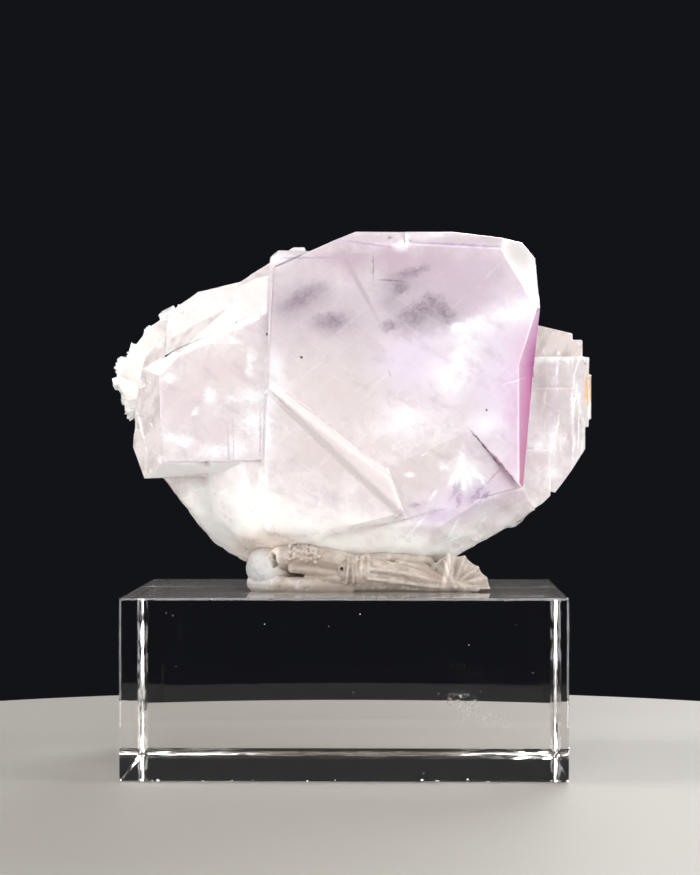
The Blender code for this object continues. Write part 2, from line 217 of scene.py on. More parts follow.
finish_modifiers(block)


def back_edge(centre, normal, area):
    beyond = [block_high[0] - abs(centre.x), centre.z]
    return block_high[1] - centre.y < BACK_ROUND and min(beyond) < BACK_ROUND and abs(normal.y) < 0.999


def sawn_end(centre, normal, area):
    return abs(normal.x) > 0.99


slices(block, back_edge, 2, RIPPLE_STEP)
slices(block, back_edge, 0, 1.6 * RIPPLE_STEP)
slices(block, sawn_end, 1, 4 * RIPPLE_STEP)
slices(block, sawn_end, 2, 4 * RIPPLE_STEP)
edge_group = block.vertex_groups.new(name="back_edge")
end_group = block.vertex_groups.new(name="sawn_end")
margin = 2 * BACK_ROUND
for vertex in block.data.vertices:
    x, y, z = vertex.co
    aside = block_high[0] - abs(x)
    near = block_high[1] - y < 0.8 * BACK_ROUND and min(aside, z) < 0.8 * BACK_ROUND
    if near and z < block_high[2] - BLOCK_CHAMFER * 2:
        edge_group.add([vertex.index], 1.0, "REPLACE")
    elif aside < 1e-6 and abs(y) < block_high[1] - margin and margin < z < block_high[2] - margin:
        end_group.add([vertex.index], 1.0, "REPLACE")
for name, grain, depth in (("back_edge", 1.7, RIPPLE_DEPTH), ("sawn_end", 7.0, 0.25 * RIPPLE_DEPTH)):
    ripple = bpy.data.textures.new(name, "CLOUDS")
    ripple.noise_scale = grain * MM
    ripple.noise_depth = 1
    wave = block.modifiers.new(name, "DISPLACE")
    wave.texture = ripple
    wave.texture_coords = "LOCAL"
    wave.vertex_group = name
    wave.strength = depth
    wave.mid_level = 1.0
finish_modifiers(block)

# Chips along the lower front edge, and every sixth on the upper one, each a shallow shell with flat sides
chance = random.Random(3)
chips = []
for number in range(EDGE_CHIPS):
    bpy.ops.object.select_all(action="DESELECT")
    place = (chance.uniform(-CHIP_REACH, CHIP_REACH) * MM, block_low[1] + 0.12 * MM, 0.12 * MM)
    if number % 6 == 5:
        along = chance.uniform(-CHIP_REACH, CHIP_REACH) * MM
        place = (along, block_low[1] + 0.1 * MM, block_high[2] - 0.1 * MM)
    bpy.ops.mesh.primitive_ico_sphere_add(subdivisions=1, radius=1, location=place)
    chip = bpy.context.object
    chip.scale = [chance.uniform(*span) * MM for span in ((0.2, 0.6), (0.14, 0.34), (0.14, 0.32))]
    chip.rotation_euler = [chance.uniform(0, 3) for _ in range(3)]
    settle(chip)
    chips.append(chip)
cut_or_join(block, join(chips, "edge_chips"), "DIFFERENCE", overlapping=True)
only(block)
bpy.ops.object.shade_smooth_by_angle(angle=math.radians(12))

# Cast acrylic, machine polished: water-clear, with a refractive index of 1.49 and hardly any haze.
# Handling leaves a greasy smear low on the front face, and a few fine specks of dust sit on the top.
acrylic, tree, shader, place = new_finish("polished_acrylic")
smear = spots(tree, place, -31.7, 2.0, [(20.5, 12.8, 2.6, 1.8, 30), (24.5, 10.6, 2.6, 1.1, 10)], 0.6)
ridges = add_node(tree, "TexNoise", inputs={"Vector": place, "Scale": 1.6, "Detail": 6.0, "Roughness": 0.7})
broken = add_node(
    tree, "MapRange", inputs={"Value": ridges.outputs["Fac"], "From Min": 0.5, "From Max": 0.62}
)
grease = add_node(tree, "Math", {"operation": "MULTIPLY"}, {0: smear, 1: broken.outputs["Result"]})
handling = add_node(tree, "TexNoise", inputs={"Vector": place, "Scale": 0.12, "Detail": 4.0})
haze = add_node(
    tree, "MapRange", inputs={
        "Value": handling.outputs["Fac"], "From Min": 0.45, "From Max": 0.75, "To Max": 0.03,
    }
)
rough = add_node(tree, "Math", {"operation": "MULTIPLY_ADD"}, {
    0: grease.outputs[0], 1: 0.45, 2: haze.outputs[0],
})
across = add_node(tree, "SeparateXYZ", inputs={0: place}).outputs
aside = add_node(tree, "Math", {"operation": "ABSOLUTE"}, {0: across["X"]}).outputs[0]
corner = add_node(tree, "MapRange", inputs={"Value": aside, "From Min": 36.6, "From Max": 37.2}).outputs[0]
lowest = add_node(tree, "MapRange", inputs={
    "Value": across["Z"], "From Min": 1.4, "From Max": 0.8,
}).outputs[0]
edges = add_node(tree, "Math", {"operation": "MAXIMUM"}, {0: corner, 1: lowest}).outputs[0]
behind = add_node(tree, "MapRange", inputs={
    "Value": across["Y"], "From Min": 30.4, "From Max": 30.8,
}).outputs[0]
sanded = add_node(tree, "Math", {"operation": "MULTIPLY"}, {0: edges, 1: behind}).outputs[0]
matt = add_node(tree, "Math", {"operation": "MULTIPLY_ADD"}, {0: sanded, 1: 0.08, 2: rough.outputs[0]})
tree.links.new(matt.outputs[0], shader.inputs["Roughness"])
cells = add_node(tree, "TexVoronoi", inputs={"Vector": place, "Scale": 0.42, "Randomness": 1.0})
dot = add_node(tree, "MapRange", inputs={
    "Value": cells.outputs["Distance"], "From Min": 0.045, "From Max": 0.025,
})
sparse = add_node(tree, "MapRange", inputs={
    "Value": handling.outputs["Fac"], "From Min": 0.55, "From Max": 0.57,
})
dust = add_node(tree, "Math", {"operation": "MULTIPLY"}, {
    0: dot.outputs[0], 1: sparse.outputs[0],
}).outputs[0]
cover = add_node(tree, "Math", {"operation": "MULTIPLY_ADD"}, {
    0: grease.outputs[0], 1: 0.35, 2: dust,
}).outputs[0]
upper = add_node(tree, "MapRange", inputs={
    "Value": across["Z"], "From Min": 30.8, "From Max": 31.0,
}).outputs[0]
cover = add_node(tree, "Math", {"operation": "MULTIPLY_ADD"}, {0: upper, 1: 0.2, 2: cover}).outputs[0]
clear = add_node(tree, "Math", {"operation": "SUBTRACT", "use_clamp": True}, {0: 1.0, 1: cover})
tree.links.new(clear.outputs[0], shader.inputs["Transmission Weight"])
shader.inputs["Base Color"].default_value = linear("#fbf8f5")
shader.inputs["IOR"].default_value = 1.49
block.data.materials.clear()
block.data.materials.append(acrylic)
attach(block, "root")
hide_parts("acrylic_block")


# The putty is off-white mineral tack, rolled into strips, wound up and pressed under the cluster.
# A ball and two rolls show in front, and at the right a thin scrap of it has torn into a pleated fan.
# It stays soft, and grips the block and the broken foot by itself.

PUTTY_CELL = 0.215 * MM
PUTTY_SINK = 0.05 * MM
FLOOR_CUTTER = 80 * MM


def stretched(balls, detail=2):
    """A rounded solid stretched over balls, each given as its x, y, z and radius in mm."""
    made = []
    for x, y, z, radius in balls:
        bpy.ops.object.select_all(action="DESELECT")
        bpy.ops.mesh.primitive_ico_sphere_add(
            subdivisions=detail, radius=radius * MM, location=(x * MM, y * MM, z * MM)
        )
        settle(bpy.context.object)
        made.append(bpy.context.object)
    solid = join(made, "putty_part")
    only(solid)
    bpy.ops.object.mode_set(mode="EDIT")
    bpy.ops.mesh.select_all(action="SELECT")
    bpy.ops.mesh.convex_hull()
    close_edit()
    return solid


def rolled(balls):
    """A roll that runs through balls, one after the other."""
    return [stretched(pair) for pair in zip(balls, balls[1:])]


parts = []
# The wad itself, spread under the foot, with the lobes that squeezed out at the sides and the back
parts.append(stretched([
    (-11, -7, 34.0, 2.6), (-12, 8, 33.8, 2.8), (15, -7, 33.6, 2.5), (14, 9, 33.8, 2.8), (2, 10.6, 34.2, 3.0),
]))
parts += rolled([
    (-13.8, -4, 34.6, 3.3), (-14.2, 4, 34.4, 3.0), (-11.5, 10.4, 34.2, 3.1), (-3, 11.6, 33.8, 3.0),
])
parts += rolled([(-1, 11.4, 34.6, 2.6), (6, 12.2, 35.4, 2.4), (13, 11.2, 35.0, 2.6), (18.2, 6.5, 33.6, 2.4)])
parts += rolled([(19.5, 5.0, 32.6, 1.7), (20.6, -1.0, 32.4, 1.6), (19.0, -7.0, 32.6, 1.5)])
parts += rolled([(2, -8.5, 36.3, 1.7), (8, -8.0, 36.6, 1.8), (14, -7.5, 35.8, 1.6)])
# The ball at the left and the flattened fold under it
parts.append(stretched([(-13.9, -9.0, 35.2, 3.9), (-13.2, -8.2, 35.6, 3.6), (-12.6, -9.8, 34.4, 3.6)], 3))
parts += rolled([
    (-16.2, -9.6, 32.4, 1.5), (-11.5, -13.2, 32.3, 1.5), (-5, -13.6, 32.2, 1.4), (0.5, -13.0, 32.0, 1.2),
])
# The first roll, with its pinched folds
parts += rolled([
    (-11.6, -11.9, 37.0, 2.1), (-8, -12.2, 36.9, 2.35), (-3.6, -12.0, 36.4, 2.3), (0.4, -11.6, 35.8, 2.1),
])
parts += rolled([(-9.5, -13.9, 35.1, 0.8), (-4.5, -14.1, 34.6, 0.75), (-0.9, -13.5, 34.0, 0.6)])
parts += rolled([(-6.5, -13.6, 33.8, 0.8), (-1.5, -13.8, 33.2, 0.8), (1.0, -13.2, 33.0, 0.7)])
# The second, wound-up roll, which tapers to the right, with the flap that stands behind it
parts += rolled([
    (0.9, -12.0, 34.3, 3.1), (5, -12.2, 34.0, 2.85), (10, -12.2, 33.5, 2.4), (15, -12.4, 32.7, 1.7),
    (20.5, -12.8, 31.9, 0.8), (23.0, -12.8, 31.6, 0.5),
])
parts += rolled([(9.0, -10.6, 35.9, 0.7), (13.5, -10.9, 35.3, 0.6), (17.4, -11.6, 33.4, 0.6)])
# Long folds that sweep along the second roll
parts += rolled([
    (4.4, -14.9, 35.1, 0.35), (9, -14.6, 34.5, 0.5), (14, -14.0, 33.4, 0.45), (19, -13.4, 32.3, 0.25),
])
parts += rolled([
    (3.8, -14.9, 33.4, 0.3), (8.5, -14.6, 32.9, 0.38), (13.5, -14.0, 32.2, 0.33), (17, -13.6, 31.8, 0.25),
])
# Wrinkles round the wound end
for number, x in enumerate((0.2, 1.05, 1.95, 2.75, 3.8)):
    reach = 3.2 - 0.075 * x
    ring = []
    for angle in (-30, -5, 20, 45, 70, 95):
        turn = math.radians(angle)
        lean = 0.25 * math.sin(1.7 * number + angle / 40)
        ring.append((
            x + lean, -12.05 - reach * math.cos(turn), 34.25 + reach * math.sin(turn),
            0.24 + 0.05 * (number % 2),
        ))
    parts += [stretched(pair, 1) for pair in zip(ring, ring[1:])]
# The torn fan: thin pleats that rise from one point, with thicker ribs between them
root = (18.6, -11.6, 31.9)
rim = (
    (15.6, -11.3, 35.8), (17.9, -11.4, 37.4), (19.3, -10.2, 36.9), (20.8, -10.8, 37.0), (21.9, -9.6, 35.9),
    (23.1, -10.4, 35.2), (23.7, -9.3, 34.0), (24.7, -10.2, 33.4), (24.9, -9.6, 32.2), (25.2, -10.6, 31.5),
)
for number, (near, far) in enumerate(zip(rim, rim[1:])):
    parts.append(stretched([(*root, 0.45), (*near, 0.27), (*far, 0.27)], 1))
    parts.append(stretched([(*root, 0.5), (*near, 0.45 if number in (1, 3, 5) else 0.33)], 1))
# The fold that stands up in front of the fan, and the flap's turned edge behind the second roll
parts += rolled([(17.2, -12.3, 36.4, 0.3), (17.9, -12.9, 34.2, 0.42), (19.0, -13.6, 31.9, 0.5)])
parts += rolled([(9.5, -12.4, 36.1, 0.4), (13.2, -12.6, 35.3, 0.45), (16.6, -12.9, 33.6, 0.4)])
# The pale tab under the first roll
parts.append(stretched([(-8.7, -14.6, 31.8, 0.45), (-8.0, -14.5, 33.0, 0.4)], 1))
# Bubbles on the first roll, left by air trapped in it
chance = random.Random(8)
for column in range(8):
    for row in range(6):
        along = -9.8 + 0.74 * column + chance.uniform(-0.16, 0.16)
        turn = math.radians(-8 + 17 * row + chance.uniform(-4, 4) + 8 * (column % 2))
        if chance.random() < 0.82:
            ball = (along, -12.15 - 2.42 * math.cos(turn), 36.8 - 0.06 * (along + 8) + 2.42 * math.sin(turn))
            parts.append(stretched([(*ball, chance.uniform(0.24, 0.38))], 1))
putty = join(parts, "pressed_putty")
melt = putty.modifiers.new("melt", "REMESH")
melt.mode = "VOXEL"
melt.voxel_size = PUTTY_CELL
melt.adaptivity = 0.0
ease = putty.modifiers.new("ease", "SMOOTH")
ease.factor = 0.5
ease.iterations = 1
finish_modifiers(putty)
for name, grain, depth in (("pressed_dents", 3.4, 0.35), ("kneading", 1.1, 0.1), ("crumb", 0.5, 0.05)):
    relief = bpy.data.textures.new(name, "CLOUDS")
    relief.noise_scale = grain * MM
    relief.noise_depth = 1
    push = putty.modifiers.new(name, "DISPLACE")
    push.texture = relief
    push.texture_coords = "LOCAL"
    push.strength = depth * MM
    push.mid_level = 0.5
finish_modifiers(putty)
# The small dark hole between the rolls, the hollow of the cut end, and the flat that grips the block
putty_floor = block_high[2] - PUTTY_SINK
hole = stretched([(-0.9, -14.6, 35.0, 0.45), (-0.4, -12.5, 35.2, 0.3)])
hollow = stretched([(-13.4, -13.3, 37.3, 0.9), (-12.0, -12.6, 36.8, 1.0), (-12.6, -13.4, 35.6, 0.5)])
bpy.ops.object.select_all(action="DESELECT")
bpy.ops.mesh.primitive_cube_add(size=FLOOR_CUTTER, location=(0, 0, putty_floor - FLOOR_CUTTER / 2))
cut_or_join(putty, join([bpy.context.object, hole, hollow], "putty_cuts"), "DIFFERENCE")
only(putty)
bpy.ops.object.shade_smooth()

# Off-white putty: matt, a little greasy, and slightly see-through where it's thin. Its hollows and lower
# parts are darkened with painted shade, and its crests, cut end and a fold of the fan are paler with painted
# highlights.
tack, tree, shader, place = new_finish("off_white_putty")
kneaded = add_node(tree, "TexNoise", inputs={
    "Vector": place, "Scale": 0.45, "Detail": 5.0, "Roughness": 0.6, "Distortion": 0.8,
})
# The kneaded tones differ at random, and are set darker than the putty's own off-white as painted shade from
# the cluster above.
shades = add_node(tree, "ValToRGB", inputs={"Fac": kneaded.outputs["Fac"]})
shades.color_ramp.elements[0].position = 0.3
shades.color_ramp.elements[0].color = linear("#97897e")
shades.color_ramp.elements[1].position = 0.7
shades.color_ramp.elements[1].color = linear("#c6bbb0")
# Painted highlight: the ball and the tab under the first roll are paler and cooler, for bluish light from the
# left falling on them.
painted_sky_highlight = spots(tree, place, -10, 6, [(-14.6, 34.9, 3.6, 3.8, 0), (-8.3, 32.4, 0.9, 1.3, 0)], 0.4)
# Painted shade: the lower part of the first roll, the fold under it and a patch by the second roll are
# browner and darker, in the shade under the cluster.
painted_brown_shade = spots(tree, place, -12, 5, [
    (-6.0, 35.6, 4.4, 2.6, 4), (-2.0, 32.4, 5, 1.2, 0), (15.2, 34.2, 4.0, 0.9, 30),
], 0.7)
# Painted highlights: the cut end of the first roll and a fold of the torn fan are paler where light catches
# them.
painted_highlight = spots(tree, place, -12, 3, [(-12.6, 37.4, 1.0, 2.0, 0), (17.6, 34.6, 0.5, 3.0, 12)], 0.5)
# Painted shade and highlight: hollows, found by how the surface curves, are darker, and crests are paler.
curve = add_node(tree, "NewGeometry").outputs["Pointiness"]
painted_hollow_shade = add_node(tree, "MapRange", inputs={
    "Value": curve, "From Min": 0.497, "From Max": 0.45, "To Max": 0.85,
}).outputs[0]
painted_crest_highlight = add_node(tree, "MapRange", inputs={
    "Value": curve, "From Min": 0.515, "From Max": 0.6, "To Max": 0.4,
}).outputs[0]
grime = add_node(tree, "TexNoise", inputs={"Vector": place, "Scale": 2.6, "Detail": 3.0})
specks = add_node(tree, "MapRange", inputs={
    "Value": grime.outputs["Fac"], "From Min": 0.66, "From Max": 0.74,
}).outputs[0]
colour = shades.outputs[0]
for share, tint in (
    (painted_sky_highlight, "#c2bfbd"),
    (painted_brown_shade, "#9c8c80"),
    (painted_highlight, "#d9d0c4"),
    (painted_hollow_shade, "#79695e"),
    (painted_crest_highlight, "#e6ded4"),
    (specks, "#83776d"),
):
    colour = add_node(tree, "Mix", {"data_type": "RGBA"}, {0: share, 6: colour, 7: linear(tint)}).outputs[2]
tree.links.new(colour, shader.inputs["Base Color"])
greasy = add_node(tree, "MapRange", inputs={"Value": kneaded.outputs["Fac"], "To Min": 0.26, "To Max": 0.56})
tree.links.new(greasy.outputs[0], shader.inputs["Roughness"])
grain = add_node(tree, "TexNoise", inputs={"Vector": place, "Scale": 5.0, "Detail": 3.0})
bump = add_node(tree, "Bump", inputs={"Height": grain.outputs["Fac"], "Distance": 0.00004, "Strength": 0.6})
tree.links.new(bump.outputs[0], shader.inputs["Normal"])
shader.inputs["Subsurface Weight"].default_value = 0.12
shader.inputs["Subsurface Radius"].default_value = (1.0, 0.9, 0.8)
shader.inputs["Subsurface Scale"].default_value = 0.0008
putty.data.materials.clear()
putty.data.materials.append(tack)
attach(putty, "root")
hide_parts("mounting_putty")


# The crystals are fluorite, grown into each other as bevelled cubes: glassy faces outside, clouded inside.
# The great cube is pale lilac with purple along its right edge. Below, the foot is broken and milky.
# The putty holds them by the foot, and no part of them moves.

EDGE_WEAR = 0.16 * MM
BREAK_CELL = 0.95 * MM
RIDGE_CELL = 0.45 * MM
GREAT_CUBE_FRONT = -15.0 * MM


def ramp(value, start, end):
    return min(max((value - start) / (end - start), 0.0), 1.0)


def broken_share(point):
    """How much of the break's relief a point takes: 0 on crystal faces and 1 on breaks. point is in mm."""
    x, y, z = point
    under = 51 + (x + 35) * 0.119
    foot = max(ramp(z, 43.5, 40.5), 0.35 * ramp(z, under - 0.5, under - 3.0) * ramp(x, -11.0, -15.0))
    foot = max(foot, ramp(z, 50.0, 46.5) * ramp(y, -11.0, -6.0))
    left = ramp(x, -29.0, -31.5) * ramp(y, -3.0, 0.0)
    shoulder = 0.35 * ramp(z, 75.0, 79.0) * ramp(x, -14.5, -17.0) * ramp(y, -9.0, -6.0)
    return max(foot, left, shoulder)


# Planes that fence off the broken parts, each as a point in metres and a direction
BREAK_BORDERS = (
    ((0, 0, 0.047), (0, 0, 1)),
    ((0, 0, 0.051), (0, 0, 1)),
    ((0, 0, 0.0745), (0, 0, 1)),
    ((-0.035, 0, 0.052), (-0.119, 0, 1)),
    ((-0.005, 0, 0), (1, 0, 0)),
    ((-0.014, 0, 0), (1, 0, 0)),
    ((-0.0285, 0, 0), (1, 0, 0)),
    ((0, -0.0115, 0), (0, 1, 0)),
    ((0, -0.0035, 0), (0, 1, 0)),
)


def on_break(centre, normal, area):
    x, y, z = centre * 1000
    foot = z < 47 or (z < 51 and y > -11.5) or (z < 52 + (x + 35) * 0.119 and x < -5)
    return foot or (x < -28.5 and y > -3.5) or (z > 74.5 and x < -14 and y > -11.5)


cad_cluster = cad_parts["fluorite_cluster"]
crystals = bpy.data.objects.new("fluorite_crystals", cad_cluster.data.copy())
bpy.context.scene.collection.objects.link(crystals)
only(crystals)
bpy.ops.object.mode_set(mode="EDIT")
bpy.ops.mesh.select_all(action="SELECT")
bpy.ops.mesh.remove_doubles(threshold=0.000002)
bpy.ops.mesh.dissolve_limited(angle_limit=math.radians(0.4))
close_edit()

# The left cube and the great cube have grown together, with no slit between them
BRIGHT_SLOPE = (-0.314, -0.64, 0.703)
bpy.ops.object.select_all(action="DESELECT")
bpy.ops.mesh.primitive_cube_add(size=1, location=(-0.0139, -0.0064, 0.0702))
seam = bpy.context.object
seam.scale = (0.0021, 0.0152, 0.0320)
settle(seam)
only(seam)
bpy.ops.object.mode_set(mode="EDIT")
bpy.ops.mesh.select_all(action="SELECT")
bpy.ops.mesh.bisect(
    plane_co=(-0.014, -0.014, 0.0798), plane_no=BRIGHT_SLOPE, clear_outer=True, use_fill=True,
)
close_edit()
cut_or_join(crystals, seam, "UNION")

# Growth steps: thin plates, where the last layers covered only part of a face. Each host face is given as
# its ranges of x, y and z in mm, its turn in degrees, which way it looks, and how many steps it has
HOSTS = (
    ((7, 20), (-6, 10), (93.9, 94.0), 0, 2, 4),
    ((-4, 30), (15.5, 15.6), (79, 91), 0, 1, 4),
    ((32.7, 33.0), (-4, 9), (66, 80), 0, 0, 3),
    ((-12, 4), (25.0, 25.4), (55, 73), 4, 1, 4),
    ((12, 24), (25.4, 25.7), (51, 68), -3, 1, 3),
    ((-26, -16), (21.6, 22.0), (54, 68), 8, 1, 3),
    ((29, 40), (21.2, 21.6), (50, 67), 0, 1, 3),
    ((-36, -26), (14.9, 15.1), (64, 76), 0, 1, 2),
)
# Where small crystals bristle on the break at the far left, in mm
TEETH = (
    (-40.6, 5, 70.6), (-38.6, 6, 73.6), (-36.2, 7, 76.4), (-33.4, 6, 79.4),
    (-40.9, 5, 68.2), (-40.0, 5, 65.6), (-38.6, 4, 62.8),
)
TOOTH_COUNT = 46
chance = random.Random(12)
plates = []
for *ranges, turn, way, count in HOSTS:
    for number in range(count):
        bpy.ops.object.select_all(action="DESELECT")
        bpy.ops.mesh.primitive_cube_add(size=1, location=[chance.uniform(*span) * MM for span in ranges])
        plate = bpy.context.object
        plate.scale = [chance.uniform(6, 14) * MM for _ in range(3)]
        plate.scale[way] = chance.uniform(0.3, 0.8) * MM
        plate.rotation_euler = (0, 0, math.radians(turn))
        settle(plate)
        plates.append(plate)
for number in range(TOOTH_COUNT):
    place = chance.choice(TEETH)
    bpy.ops.object.select_all(action="DESELECT")
    bpy.ops.mesh.primitive_cube_add(
        size=chance.uniform(1.2, 2.8) * MM,
        location=[(part + chance.uniform(-1.1, 1.1)) * MM for part in place],
    )
    tooth = bpy.context.object
    tooth.rotation_euler = [chance.uniform(-0.5, 0.5) for _ in range(3)]
    settle(tooth)
    plates.append(tooth)
# The great cube's upper left corner reaches the shoulder's height
bpy.ops.object.select_all(action="DESELECT")
bpy.ops.mesh.primitive_cube_add(size=1, location=(-0.0078, -0.0104, 0.0870))
corner_block = bpy.context.object
corner_block.scale = (0.0110, 0.0090, 0.0070)
settle(corner_block)
only(corner_block)
bpy.ops.object.mode_set(mode="EDIT")
bpy.ops.mesh.select_all(action="SELECT")
bpy.ops.mesh.bevel(offset=0.9 * MM, segments=1)
close_edit()
plates.append(corner_block)
cut_or_join(crystals, join(plates, "growth_steps"), "UNION", overlapping=True)


def facing(normal, way, near=0.99):
    return normal.dot(Vector(way).normalized()) > near


# The bright slope is one smooth face: a tiny step across it, along a rising line, is closed
only(crystals)
for vertex in crystals.data.vertices:
    x, y, z = vertex.co * 1000
    vertex.select = -33.5 < x < -13.9 and y < -9 and abs(z - 76.5 - (x + 23.26) * 0.452) < 0.6
bpy.context.tool_settings.mesh_select_mode = (True, False, False)
bpy.ops.object.mode_set(mode="EDIT")
bpy.ops.mesh.remove_doubles(threshold=0.3 * MM)
close_edit()


# The slanting bevel at the upper left runs on across the bright slope, sunk a little below it
SLANT_TOP = Vector((-0.0351, 0, 0.0735)), Vector((-5.8, 0, 10.4)).normalized()
SLANT_LOW = Vector((-0.0310, 0, 0.0712)), Vector((-7.8, 0, 7.9)).normalized()


def on_slope(centre, normal, area):
    return centre.x < -0.014 and facing(normal, BRIGHT_SLOPE, 0.995)


def on_slant(centre, normal, area):
    below = (centre - SLANT_TOP[0]).dot(SLANT_TOP[1]) < 0
    return on_slope(centre, normal, area) and below and (centre - SLANT_LOW[0]).dot(SLANT_LOW[1]) > 0


pick_faces(crystals, on_slope)
bpy.ops.mesh.hide(unselected=True)
for place, normal in (SLANT_TOP, SLANT_LOW):
    bpy.ops.mesh.select_all(action="SELECT")
    bpy.ops.mesh.bisect(plane_co=place, plane_no=normal)
bpy.ops.mesh.reveal(select=False)
close_edit()
pick_faces(crystals, on_slant)
bpy.ops.mesh.inset(thickness=0.0003, depth=-0.00004)
close_edit()

# Edges are worn on the crystal faces, and stay sharp on the breaks
only(crystals)
bpy.context.tool_settings.mesh_select_mode = (False, True, False)
bpy.ops.object.mode_set(mode="EDIT")
bpy.ops.mesh.edges_select_sharp(sharpness=math.radians(14))
close_edit()
weights = crystals.data.attributes.new("bevel_weight_edge", "FLOAT", "EDGE")
for line in crystals.data.edges:
    ends = [crystals.data.vertices[i].co for i in line.vertices]
    broken_edge = on_break((ends[0] + ends[1]) / 2, None, 0)
    weights.data[line.index].value = 1.0 if line.select and not broken_edge else 0.0
wear = crystals.modifiers.new("wear", "BEVEL")
wear.width = EDGE_WEAR
wear.segments = 1
wear.limit_method = "WEIGHT"
wear.use_clamp_overlap = False
finish_modifiers(crystals)

only(crystals)
bpy.ops.object.mode_set(mode="EDIT")
for place, normal in BREAK_BORDERS:
    bpy.ops.mesh.select_all(action="SELECT")
    bpy.ops.mesh.bisect(plane_co=place, plane_no=normal)
close_edit()
for axis in range(3):
    slices(crystals, on_break, axis, BREAK_CELL)


# The ridge across the great cube's face stands out farthest, rounded and frosted by a late overgrowth
def on_ridge(centre, normal, area):
    return centre.y < GREAT_CUBE_FRONT - 0.05 * MM


for axis in (0, 2):
    slices(crystals, on_ridge, axis, RIDGE_CELL)
ridge_group = crystals.vertex_groups.new(name="ridge")
for vertex in crystals.data.vertices:
    if vertex.co.y < GREAT_CUBE_FRONT - 0.12 * MM:
        ridge_group.add([vertex.index], 1.0, "REPLACE")
frost = bpy.data.textures.new("frost", "CLOUDS")
frost.noise_scale = 0.0011
frost.noise_depth = 2
rounding = crystals.modifiers.new("rounding", "SMOOTH")
rounding.factor = 0.5
rounding.iterations = 7
rounding.vertex_group = "ridge"
grit = crystals.modifiers.new("grit", "DISPLACE")
grit.texture = frost
grit.texture_coords = "LOCAL"
grit.vertex_group = "ridge"
grit.strength = 0.28 * MM
grit.mid_level = 0.5
finish_modifiers(crystals)


# Where the foot runs on under the left cube its steps are worn smooth, most of all the one under its middle
def worn_share(point):
    """How smooth a point of the foot is worn, from 0 to 1. point is in mm."""
    x, y, z = point
    under = 51 + (x + 35) * 0.119
    return max(ramp(z, under - 0.3, under - 2.2) * ramp(x, -7, -12), ramp(z, 43, 40.5))


worn = crystals.vertex_groups.new(name="worn_foot")
for vertex in crystals.data.vertices:
    share = worn_share(vertex.co * 1000)
    if share > 0:
        worn.add([vertex.index], share, "REPLACE")
fold = crystals.vertex_groups.new(name="foot_fold")
for vertex in crystals.data.vertices:
    x, y, z = vertex.co * 1000
    share = ramp(abs(x + 24.2), 4.5, 2.5) * ramp(z, 51.6, 50.2) * ramp(y, -3.0, -5.0)
    if share > 0:
        fold.add([vertex.index], share, "REPLACE")
for name, rounds in (("worn_foot", 45), ("foot_fold", 60)):
    soften = crystals.modifiers.new(name, "SMOOTH")
    soften.factor = 0.5
    soften.iterations = rounds
    soften.vertex_group = name
finish_modifiers(crystals)

group = crystals.vertex_groups.new(name="break")
for vertex in crystals.data.vertices:
    share = broken_share([c * 1000 for c in vertex.co])
    if share > 0:
        group.add([vertex.index], share, "REPLACE")
for name, kind, grain, depth in (
    ("break_shells", "VORONOI", 0.0046, 1.0 * MM),
    ("break_splinters", "CLOUDS", 0.0016, 0.5 * MM),
):
    relief = bpy.data.textures.new(name, kind)
    relief.noise_scale = grain
    push = crystals.modifiers.new(name, "DISPLACE")
    push.texture = relief
    push.texture_coords = "LOCAL"
    push.vertex_group = "break"
    push.strength = depth
    push.mid_level = 0.62 if kind == "VORONOI" else 0.5
finish_modifiers(crystals)
only(crystals)
bpy.ops.object.shade_smooth_by_angle(angle=math.radians(18))

# The large faces keep flat shading right up to their borders, and the worn foot has no sharp edges
flat_borders = {key for face in crystals.data.polygons if face.area > 20e-6 for key in face.edge_keys}
for line in crystals.data.edges:
    if line.key in flat_borders:
        line.use_edge_sharp = True
    elif min(worn_share(crystals.data.vertices[i].co * 1000) for i in line.vertices) > 0.5:
        line.use_edge_sharp = False


# Which faces are clear as glass, and which are painted paler as a glow of light from inside. A test gets a
# face's middle in mm
def share_faces(obj, name, kinds):
    """Gives every face the largest share of something whose test it passes."""
    shares = []
    for face in obj.data.polygons:
        middle = face.center * 1000
        shares.append(max([share for share, test in kinds if test(middle, face.normal)], default=0.0))
    layer = obj.data.attributes.new(name, "FLOAT", "FACE")
    layer.data.foreach_set("value", shares)


# Painted glow: the bright facet at the upper right, the bright slope outside its slanting bevel, and the left
# cube's low bevel are paler.
share_faces(
    crystals,
    "painted_glow",
    (
        (0.9, lambda m, n: m.x > 25 and m.z > 70 and facing(n, (0.74, -0.51, 0.44))),
        (0.5, lambda m, n: on_slope(m / 1000, n, 0) and not on_slant(m / 1000, n, 0)),
        (0.8, lambda m, n: m.x < -10 and m.z > 50 and facing(n, (0, -0.644, -0.767))),
    ),
)
share_faces(
    crystals,
    "glassy",
    (
        (1.0, lambda m, n: m.x < -25 and m.z > 50.4 and facing(n, (-0.7, -0.71, -0.02))),
        (1.0, lambda m, n: m.x < -15 and m.z > 60 and facing(n, (-0.494, -0.707, 0.506))),
        (1.0, lambda m, n: on_slant(m / 1000, n, 0)),
        (1.0, lambda m, n: m.x > 34.5 and m.z > 72.7 and n.y < 0.5),
        (0.5, lambda m, n: m.x > 25 and m.z > 50 and n.x > 0.95),
    ),
)


def on_rim(middle, normal):
    x, y, z = middle
    return 29 < x < 35 and y < -7 and z > 48 and facing(normal, (0.84, -0.53, -0.13), 0.96)


share_faces(crystals, "rosy", ((1.0, on_rim),))

# Fluorite has a low refractive index, 1.434, so it is less sparkling than quartz or glass.
# Clouds of tiny inclusions scatter the light inside it, and only a share of it passes straight through.
fluorite, tree, shader, place = new_finish("clouded_fluorite")


